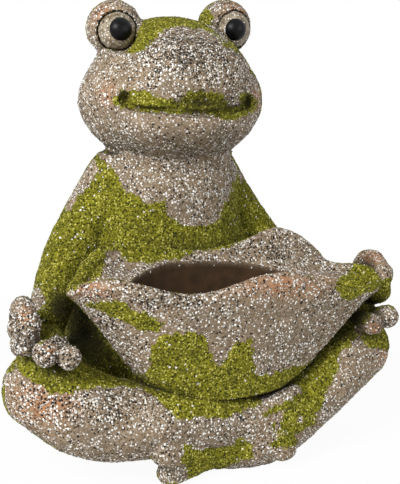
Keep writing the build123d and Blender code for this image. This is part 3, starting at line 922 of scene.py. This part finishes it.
def paint(name, vertices, normals):
    """Shares of moss, blush and grit at each vertex of a piece, and of the light that its painted shade spots
    leave.
    """
    places = seen_at(vertices)
    toward = camera_place - vertices
    toward = toward / np.linalg.norm(toward, axis=1)[:, None]
    facing = eased_step(*facing_range, np.sum(normals * toward, axis=1))
    mossy = name in mossy_pieces
    level = np.full(len(vertices), deepest if mossy else -deepest)
    for cover, corners in moss_outlines.get(name, ()):
        depth = inside_outline(places, corners)
        level = np.maximum(level, depth) if cover == MOSS else np.minimum(level, -depth)
    level = np.clip(level, -deepest, deepest)
    unseen = waves(vertices, patch_size, 3) + (unseen_mossy if mossy else unseen_bare)
    unseen = (unseen + unseen_upward * normals[:, 2]) * unseen_contrast
    level = level * facing + unseen * (1 - facing)
    level = level + moss_wander * waves(vertices, moss_wander_size, 5)
    shares = {"moss": np.clip(0.5 + level / (2 * moss_edge), 0, 1), "blush": np.zeros(len(vertices))}
    for spot in blush_spots.get(name, ()):
        shares["blush"] = np.maximum(shares["blush"], spot_cover(places, spot) * facing)
    # Grit spots thin or thicken the chips; shade spots are painted shade and give the share of light left
    for kind, spots in (("grit", grit_spots), ("open", shade_spots)):
        shares[kind] = np.ones(len(vertices))
        for *spot, share in spots.get(name, ()):
            shares[kind] *= 1 + (share - 1) * spot_cover(places, spot) * facing
    return shares


# Scene helpers
def linked_object(name, data):
    thing = bpy.data.objects.new(name, data)
    bpy.context.scene.collection.objects.link(thing)
    return thing


def new_object(name, vertices, faces):
    """Mesh object from places in millimetres, with smooth faces."""
    mesh = bpy.data.meshes.new(name)
    mesh.from_pydata(vertices * MM, [], faces)
    mesh.polygons.foreach_set("use_smooth", np.ones(len(mesh.polygons), bool))
    mesh.validate()
    return linked_object(name, mesh)


def aimed_object(name, data, place):
    """Object that faces what the camera looks at."""
    thing = linked_object(name, data)
    thing.location = np.array(place) * MM
    thing.rotation_euler = Vector(camera_target - place).to_track_quat("-Z", "Y").to_euler()
    return thing


def rows_of(vertices, name):
    """One property of every vertex of a mesh, in rows of three."""
    values = np.zeros(len(vertices) * 3)
    vertices.foreach_get(name, values)
    return values.reshape(-1, 3)


def give_attribute(mesh, name, values):
    attribute = mesh.attributes.new(name, "FLOAT", "POINT")
    attribute.data.foreach_set("value", np.full(len(mesh.vertices), values, np.float32))


lump_height = 0.45
lump_size = 7.0
moss_height = 0.9
moss_tuft_size = 7.8
moss_lump_height = 0.35
moss_lump_size = 2.6
tuft_range = (0.35, 0.65)
flat_height = 1.0


def weathered(thing, name, lining):
    """Gives a stone piece its paint, with painted shade in its creases, and its surface lumps and raised
    moss. Its lining stays plain.
    """
    mesh = thing.data
    normals = rows_of(mesh.vertices, "normal")
    places = rows_of(mesh.vertices, "co") / MM
    cover = paint(name, places, normals)
    # Painted shade: less light is left in creases, by how near other surfaces are
    cover["open"] *= openness(places, normals, sampled, grid_origin, name != "leaf_bowl")
    lift = lump_height * waves(places, lump_size, 1)
    tufts = 0.5 + 0.5 * waves(places, moss_tuft_size, 2)
    tufts = moss_height * tufts + moss_lump_height * waves(places, moss_lump_size, 4)
    lift = lift * (1 - cover["moss"]) + tufts * eased_step(*tuft_range, cover["moss"])
    lift = np.where(places[:, 2] < flat_height, 0, lift) * (1 - lining)
    for kind in ("moss", "grit"):
        cover[kind] = cover[kind] * (1 - lining)
    cover["lining"] = lining
    mesh.vertices.foreach_set("co", ((places + normals * lift[:, None]) * MM).ravel())
    for kind, values in cover.items():
        give_attribute(mesh, kind, values)
    mesh.update()


# Materials
def colour(red, green, blue):
    """Linear colour from the red, green and blue that a screen shows, out of 255."""
    values = []
    for value in (red, green, blue):
        share = value / 255
        values.append(share / 12.92 if share <= 0.04045 else ((share + 0.055) / 1.055) ** 2.4)
    return (*values, 1)


def feed(tree, socket, value):
    """Links a value or a socket to an input, or sets the input to a constant."""
    if isinstance(value, Value):
        value = value.socket
    if isinstance(value, bpy.types.NodeSocket):
        tree.links.new(value, socket)
    else:
        socket.default_value = value


def new_node(tree, kind, settings=None, inputs=None):
    """Any node, with its settings, and its inputs as constants or links."""
    node = tree.nodes.new(kind)
    for setting, value in (settings or {}).items():
        setattr(node, setting, value)
    for place, value in (inputs or {}).items():
        feed(tree, node.inputs[place], value)
    return node


class Value:
    """A number that runs through a node tree, for sums that read as sums."""

    def __init__(self, tree, socket):
        self.tree = tree
        self.socket = socket

    def combine(self, operation, first, second):
        node = new_node(self.tree, "ShaderNodeMath", {"operation": operation}, {0: first, 1: second})
        return Value(self.tree, node.outputs[0])

    def __add__(self, other):
        return self.combine("ADD", self, other)

    def __sub__(self, other):
        return self.combine("SUBTRACT", self, other)

    def __rsub__(self, other):
        return self.combine("SUBTRACT", other, self)

    def __mul__(self, other):
        return self.combine("MULTIPLY", self, other)

    def __gt__(self, other):
        return self.combine("GREATER_THAN", self, other)

    def __lt__(self, other):
        return self.combine("LESS_THAN", self, other)

    __radd__ = __add__
    __rmul__ = __mul__

    def larger(self, other):
        return self.combine("MAXIMUM", self, other)

    def ramp(self, low, high):
        """0 below the low value, 1 above the high one, eased between."""
        inputs = {"Value": self, "From Min": low, "From Max": high}
        node = new_node(self.tree, "ShaderNodeMapRange", {"interpolation_type": "SMOOTHSTEP"}, inputs)
        return Value(self.tree, node.outputs["Result"])


class Finish:
    """A material being put together: one Principled surface and the nodes that feed it."""

    def __init__(self, name):
        self.material = bpy.data.materials.new(name)
        self.material.use_nodes = True
        self.tree = self.material.node_tree
        self.surface = self.tree.nodes["Principled BSDF"]
        self.place = self.node("ShaderNodeTexCoord").outputs["Object"]

    def node(self, kind, settings=None, inputs=None):
        return new_node(self.tree, kind, settings, inputs)

    def attribute(self, name):
        return Value(self.tree, self.node("ShaderNodeAttribute", {"attribute_name": name}).outputs["Fac"])

    def noise(self, size_mm, detail=2.0, roughness=0.5, output="Fac"):
        inputs = {"Vector": self.place, "Scale": 1 / (size_mm * MM), "Detail": detail, "Roughness": roughness}
        return Value(self.tree, self.node("ShaderNodeTexNoise", None, inputs).outputs[output])

    def cells(self, size_mm, shift_mm):
        """Distance to the nearest ragged cell's middle, and two random numbers of that cell. The
        shift keeps two layers of cells from sharing their middles."""
        shift = tuple(shift_mm * MM * share for share in (1, 0.7, 1.3))
        place = self.node("ShaderNodeVectorMath", {"operation": "ADD"}, {0: self.place, 1: shift}).outputs[0]
        inputs = {0: self.noise(size_mm * 0.4, output="Color"), 1: (size_mm * MM * 0.45,) * 3, 2: place}
        place = self.node("ShaderNodeVectorMath", {"operation": "MULTIPLY_ADD"}, inputs).outputs[0]
        node = self.node("ShaderNodeTexVoronoi", None, {"Vector": place, "Scale": 1 / (size_mm * MM)})
        split = self.node("ShaderNodeSeparateColor", None, {"Color": node.outputs["Color"]})
        return [Value(self.tree, socket) for socket in (node.outputs["Distance"], *split.outputs[:2])]

    def mix(self, share, first, second):
        """First colour where the share is 0, second where it is 1."""
        inputs = {0: share, 6: first, 7: second}
        return self.node("ShaderNodeMix", {"data_type": "RGBA"}, inputs).outputs[2]

    def set(self, inputs):
        for name, value in inputs.items():
            feed(self.tree, self.surface.inputs[name], value)

    def bump(self, height, strength, depth_mm):
        inputs = {"Height": height, "Strength": strength, "Distance": depth_mm * MM}
        self.set({"Normal": self.node("ShaderNodeBump", None, inputs).outputs["Normal"]})


stone_taupe = colour(126, 111, 92)
stone_dark = colour(70, 57, 40)
stone_warm = colour(146, 126, 102)
stone_pale = colour(172, 160, 142)
chip_white = colour(246, 244, 239)
chip_grey = colour(186, 180, 170)
chip_dark = colour(44, 40, 36)
chip_black = colour(14, 13, 12)
terracotta = colour(186, 120, 74)
moss_black = colour(16, 17, 2)
moss_deep = colour(62, 62, 8)
moss_mid = colour(124, 121, 27)
moss_bright = colour(212, 204, 104)
lining_brown = colour(62, 43, 25)
lining_dark = colour(46, 32, 17)
# Colour of the painted shade in creases and in shaded spots
painted_shade_brown = colour(22, 18, 7)
eye_cream = colour(150, 138, 117)
eye_shadow = colour(92, 78, 56)
pupil_black = colour(5, 5, 6)
pupil_grey = colour(13, 13, 14)
# Distance from a cell's middle, as a share of its size, over which a chip or a moss grain ends, and
# the share of moss over which it covers the stone
chip_edge = (0.36, 0.46)
moss_grain_edge = (0.3, 0.55)
moss_share_edge = (0.42, 0.58)


def chips_over(made, ground, size_mm, shift_mm, light_share, dark_share):
    """A layer of pale and dark chips on the ground colour, with the height that they stand out."""
    distance, kind, tone = made.cells(size_mm, shift_mm)
    body = 1 - distance.ramp(*chip_edge)
    pale = body * (kind < light_share)
    dark = body * ((1 - dark_share) < kind)
    ground = made.mix(pale, ground, made.mix(tone, chip_grey, chip_white))
    return made.mix(dark * 0.95, ground, chip_black), pale + dark


def stone_finish(name):
    """Gritty taupe stone with painted moss, a terracotta blush and painted shade in its creases, by the
    piece's attributes.
    """
    made = Finish(name)
    lining = made.attribute("lining")
    fine = made.noise(0.9, 3.0)
    broad = made.noise(26.0, 3.0)
    moss_noise = made.noise(1.9, 3.0, 0.6)
    ragged = moss_noise + made.noise(4.0, 2.0) - 1
    moss = (made.attribute("moss") + ragged * 0.9).ramp(*moss_share_edge)
    ground = made.mix(broad.ramp(0.35, 0.68), stone_taupe, stone_warm)
    ground = made.mix(fine.ramp(0.3, 0.62) * 0.6 + 0.4, stone_dark, ground)
    _, kind, tone = made.cells(1.2, 20.0)
    ground = made.mix((kind < 0.25) * tone * 0.6, ground, stone_dark)
    ground = made.mix((kind > 0.76) * tone * 0.6, ground, stone_pale)
    blush = made.attribute("blush") * made.noise(3.0).ramp(0.3, 0.65) * 0.6
    ground = made.mix(blush, ground, terracotta)
    patchy = made.noise(16.0, 2.0).ramp(0.3, 0.7)
    grit = made.attribute("grit")
    dense = grit * (0.4 + patchy)
    black = (grit - 1).larger(0) * 0.8
    ground, small = chips_over(made, ground, 1.5, 40.0, dense * 0.24, dense * 0.18 + black)
    ground, coarse = chips_over(made, ground, 2.5, 0.0, dense * 0.33, dense * 0.18 + black)
    distance, kind, tone = made.cells(2.1, 90.0)
    grain = 1 - distance.ramp(*moss_grain_edge)
    green = made.mix(moss_noise.ramp(0.36, 0.54), moss_deep, moss_mid)
    green = made.mix(grain * (kind > 0.66) * (0.4 + tone * 0.6), green, moss_bright)
    green = made.mix(grain * (kind < 0.34) * 0.85, green, moss_black)
    green = made.mix(made.noise(12.0).ramp(0.35, 0.7) * 0.35, green, moss_deep)
    green, _ = chips_over(made, green, 2.4, 70.0, made.noise(30.0).ramp(0.4, 0.7) * 0.05, 0.0)
    shown = made.mix(moss, ground, green)
    brown = made.mix(made.noise(9.0, 3.0).ramp(0.3, 0.7), lining_brown, lining_dark)
    # Painted shade: creases and shaded spots darken towards a dark brown
    shade = made.attribute("open").ramp(0.0, 0.9)
    shown = made.mix((1 - shade) * 0.88, made.mix(lining, shown, brown), painted_shade_brown)
    made.set({"Base Color": shown, "Roughness": 0.78 + moss * 0.17, "Specular IOR Level": 0.2})
    stone_height = coarse + small + fine * 0.8
    height = stone_height * (1 - moss) + (moss_noise * 1.6 + grain) * moss
    made.bump(height * (1 - lining * 0.8), 0.9, 0.55)
    return made.material


def eyeball_finish():
    """Cream paint over faint grit."""
    made = Finish("EyeCream")
    base = made.mix(made.noise(4.0, 3.0).ramp(0.3, 0.7), eye_cream, eye_shadow)
    shown, flecks = chips_over(made, base, 1.6, 11.0, 0.26, 0.10)
    roughness = 0.42 + made.noise(2.0) * 0.2
    made.set({"Base Color": shown, "Roughness": roughness, "Specular IOR Level": 0.25})
    made.bump(made.noise(1.2, 3.0) + flecks * 0.5, 0.35, 0.3)
    return made.material


def pupil_finish():
    """Glossy black with faint brush marks."""
    made = Finish("PupilBlack")
    marks = made.noise(3.5, 4.0)
    shown = made.mix(marks.ramp(0.3, 0.7), pupil_black, pupil_grey)
    made.set({"Base Color": shown, "Roughness": 0.3 + marks * 0.12, "Specular IOR Level": 0.12})
    made.bump(marks, 0.12, 0.2)
    return made.material


def grain_finish(name, low, high, roughness):
    """Finish of loose chips or moss grains, each a little different."""
    made = Finish(name)
    shown = made.mix(made.noise(2.0, 1.0).ramp(0.3, 0.7), low, high)
    made.set({"Base Color": shown, "Roughness": roughness, "Specular IOR Level": 0.2})
    return made.material


# Chips and moss grains, scattered over the surface
def grain_shape(name):
    """Stone chip with eight faces, one unit across."""
    points = (
        (0.5, 0.04, 0.03),
        (-0.5, -0.05, 0.02),
        (0.03, 0.42, -0.05),
        (-0.04, -0.4, 0.04),
        (0.02, 0.03, 0.3),
        (-0.03, 0.02, -0.3),
    )
    faces = [(0, 2, 4), (2, 1, 4), (1, 3, 4), (3, 0, 4), (2, 0, 5), (1, 2, 5), (3, 1, 5), (0, 3, 5)]
    mesh = bpy.data.meshes.new(name)
    mesh.from_pydata(points, [], faces)
    return bpy.data.objects.new(name, mesh)


def scatter_tree():
    """Node tree that strews a grain over a surface where an attribute allows it, and its inputs."""
    tree = bpy.data.node_groups.new("ScatterGrains", "GeometryNodeTree")
    sockets = {}
    for name, kind in (
        ("Geometry", "NodeSocketGeometry"),
        ("Grain", "NodeSocketObject"),
        ("Density", "NodeSocketFloat"),
        ("Smallest", "NodeSocketFloat"),
        ("Largest", "NodeSocketFloat"),
        ("Seed", "NodeSocketInt"),
        ("Finish", "NodeSocketMaterial"),
    ):
        sockets[name] = tree.interface.new_socket(name, in_out="INPUT", socket_type=kind).identifier
    tree.interface.new_socket("Geometry", in_out="OUTPUT", socket_type="NodeSocketGeometry")
    given = tree.nodes.new("NodeGroupInput").outputs

    def add(kind, inputs, **settings):
        return new_node(tree, kind, settings, inputs).outputs

    share = add("GeometryNodeInputNamedAttribute", {"Name": "strewn"}, data_type="FLOAT")
    density = add("ShaderNodeMath", {0: share["Attribute"], 1: given["Density"]}, operation="MULTIPLY")
    inputs = {"Mesh": given["Geometry"], "Density": density[0], "Seed": given["Seed"]}
    spread = add("GeometryNodeDistributePointsOnFaces", inputs)
    grain = add("GeometryNodeObjectInfo", {"Object": given["Grain"]})
    inputs = {2: given["Smallest"], 3: given["Largest"], "Seed": given["Seed"]}
    size = add("FunctionNodeRandomValue", inputs, data_type="FLOAT")
    angle = add("FunctionNodeRandomValue", {3: 2 * math.pi}, data_type="FLOAT")
    axis = add("FunctionNodeAxisAngleToRotation", {"Axis": (0, 0, 1), "Angle": angle[1]})
    inputs = {"Rotation": spread["Rotation"], "Rotate By": axis["Rotation"]}
    twist = add("FunctionNodeRotateRotation", inputs, rotation_space="LOCAL")
    inputs = {"Points": spread["Points"], "Instance": grain["Geometry"], "Rotation": twist["Rotation"]}
    placed = add("GeometryNodeInstanceOnPoints", {**inputs, "Scale": size[1]})
    real = add("GeometryNodeRealizeInstances", {"Geometry": placed["Instances"]})
    finished = add("GeometryNodeSetMaterial", {"Geometry": real["Geometry"], "Material": given["Finish"]})
    add("NodeGroupOutput", {"Geometry": finished["Geometry"]})
    return tree, sockets


def strewn_mesh(base, tree, sockets, values):
    """Plain mesh of what the tree strews over an object."""
    modifier = base.modifiers.new("Scatter", "NODES")
    modifier.node_group = tree
    for name, value in values.items():
        modifier[sockets[name]] = value
    evaluated = base.evaluated_get(bpy.context.evaluated_depsgraph_get())
    mesh = bpy.data.meshes.new_from_object(evaluated)
    base.modifiers.remove(modifier)
    return mesh


def joined_object(name, meshes):
    """One object from several meshes that share a material."""
    things = [linked_object(name, mesh) for mesh in meshes]
    with bpy.context.temp_override(active_object=things[0], selected_editable_objects=things):
        bpy.ops.object.join()
    things[0].name = name
    return things[0]


def stands_for(thing, node, finish, slot):
    """Gives a piece its material, hangs it from the root body and hides its CAD node. The slot is not used.
    """
    thing.data.materials.append(finish)
    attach(thing, "root")
    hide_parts(node)


# Putting the scene together
stone = stone_finish("MossyStone")
bodies = {}
castings, sampled, grid_origin = sample_figure()
castings["leaf_bowl"] = bowl_mesh()
for name, (vertices, faces, lining) in castings.items():
    bodies[name] = new_object(name + "_cast", vertices, faces)
    weathered(bodies[name], name, lining)
    stands_for(bodies[name], name, stone, "bowl_stone" if name == "leaf_bowl" else "mossy_stone")

eye_kinds = (("eyeball", eyeball_finish(), "eye_cream"), ("pupil", pupil_finish(), "pupil_black"))
for side in ("left", "right"):
    for part, finish, slot in eye_kinds:
        node = side + "_" + part
        thing = new_object(node + "_paint", *dome_mesh(*ball_place(side, part)))
        stands_for(thing, node, finish, slot)

# Each kind of grain: name, cover that it grows on, grains per square centimetre, sizes in
# millimetres and finish
grain = grain_shape("Grain")
tree, sockets = scatter_tree()
grain_kinds = (
    ("grit_light", "grit", 4.4, 0.9, 2.1, grain_finish("GritLight", chip_grey, chip_white, 0.6)),
    ("grit_dark", "grit", 2.6, 1.0, 2.1, grain_finish("GritDark", chip_black, chip_dark, 0.6)),
    ("moss_light", "moss", 5.0, 0.8, 1.6, grain_finish("MossLight", moss_mid, moss_bright, 0.9)),
    ("moss_dark", "moss", 6.0, 0.9, 1.9, grain_finish("MossDark", moss_black, moss_deep, 0.95)),
)
# Share of the grit that lies on moss too, and the ranges over which moss and open air come in; grains thin
# out in creases and spots of painted shade
stray_share = 0.025
moss_range = (0.4, 0.6)
open_range = (0.1, 0.7)
per_square_metre = 1e4
seed_step = 31
for seed, (name, kind, density, smallest, largest, finish) in enumerate(grain_kinds):
    meshes = []
    for base in bodies.values():
        mesh = base.data
        values = {}
        for wanted in ("moss", "grit", "open"):
            row = np.zeros(len(mesh.vertices), np.float32)
            mesh.attributes[wanted].data.foreach_get("value", row)
            values[wanted] = row
        moss = eased_step(*moss_range, values["moss"])
        share = moss if kind == "moss" else values["grit"] * (1 - moss * (1 - stray_share))
        give_attribute(mesh, "strewn", share * eased_step(*open_range, values["open"]))
        values = {"Grain": grain, "Density": density * per_square_metre, "Finish": finish}
        values.update({"Smallest": smallest * MM, "Largest": largest * MM})
        values["Seed"] = seed * seed_step + len(meshes)
        meshes.append(strewn_mesh(base, tree, sockets, values))
        mesh.attributes.remove(mesh.attributes["strewn"])
    thing = joined_object(name, meshes)
    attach(thing, "root")

# Camera
camera_data = bpy.data.cameras.new("Camera")
camera_data.sensor_width = sensor_size
camera_data.lens = camera_focus_px * sensor_size / PHOTO_HEIGHT
camera = aimed_object("Camera", camera_data, camera_place)
bpy.context.scene.camera = camera

# Floor, lamps and the white all round, which lights little more than it shows
floor_half_size = 3.0
floor_grey = 0.82
floor_fade = (0.3, 0.9)
near_white = 0.955
sky_tint = (0.95, 0.97, 1.0, 1)
sky_strength = 0.3
floor_data = bpy.data.meshes.new("Floor")
corners = [(x * floor_half_size, y * floor_half_size, 0) for x, y in ((-1, -1), (1, -1), (1, 1), (-1, 1))]
floor_data.from_pydata(corners, [], [(0, 1, 2, 3)])
floor = linked_object("Floor", floor_data)


def white_where_seen(tree, lit, share, output):
    """Shows plain white, by a share, to camera, glossy and glass rays, and the lit shader to all else."""
    path = new_node(tree, "ShaderNodeLightPath").outputs
    seen = Value(tree, path["Is Camera Ray"]).larger(path["Is Glossy Ray"])
    seen = seen.larger(path["Is Transmission Ray"]) * share
    on_floor = lit.bl_idname == "ShaderNodeBsdfDiffuse"
    kind = "ShaderNodeEmission" if on_floor else "ShaderNodeBackground"
    white = new_node(tree, kind, None, {"Color": (1, 1, 1, 1)})
    shown = new_node(tree, "ShaderNodeMixShader", None, {0: seen, 1: lit.outputs[0], 2: white.outputs[0]})
    feed(tree, tree.nodes[output].inputs["Surface"], shown.outputs[0])


floor_material = bpy.data.materials.new("Floor")
floor_material.use_nodes = True
floor_tree = floor_material.node_tree
floor_tree.nodes.remove(floor_tree.nodes["Principled BSDF"])
matt = new_node(floor_tree, "ShaderNodeBsdfDiffuse", None, {"Color": (floor_grey, floor_grey, floor_grey, 1)})
place = new_node(floor_tree, "ShaderNodeTexCoord").outputs["Object"]
reach = new_node(floor_tree, "ShaderNodeVectorMath", {"operation": "LENGTH"}, {0: place})
far_share = Value(floor_tree, reach.outputs["Value"]).ramp(*floor_fade)
white_where_seen(floor_tree, matt, far_share * (1 - near_white) + near_white, "Material Output")
floor.data.materials.append(floor_material)

world = bpy.data.worlds.new("Studio")
bpy.context.scene.world = world
world.use_nodes = True
sky = world.node_tree.nodes["Background"]
sky.inputs["Color"].default_value = sky_tint
sky.inputs["Strength"].default_value = sky_strength
white_where_seen(world.node_tree, sky, 1.0, "World Output")

# Each lamp: name, place, width and height in metres, and watts
for name, place, width, height, watts in (
    ("KeySoftbox", (-1250.0, -850.0, 1050.0), 0.7, 0.7, 37.0),
    ("FillSoftbox", (900.0, -1300.0, 600.0), 1.2, 1.0, 9.0),
):
    lamp_data = bpy.data.lights.new(name, "AREA")
    lamp_data.shape = "RECTANGLE"
    lamp_data.size = width
    lamp_data.size_y = height
    lamp_data.energy = watts
    aimed_object(name, lamp_data, place)

bpy.context.scene.view_settings.view_transform = "Standard"
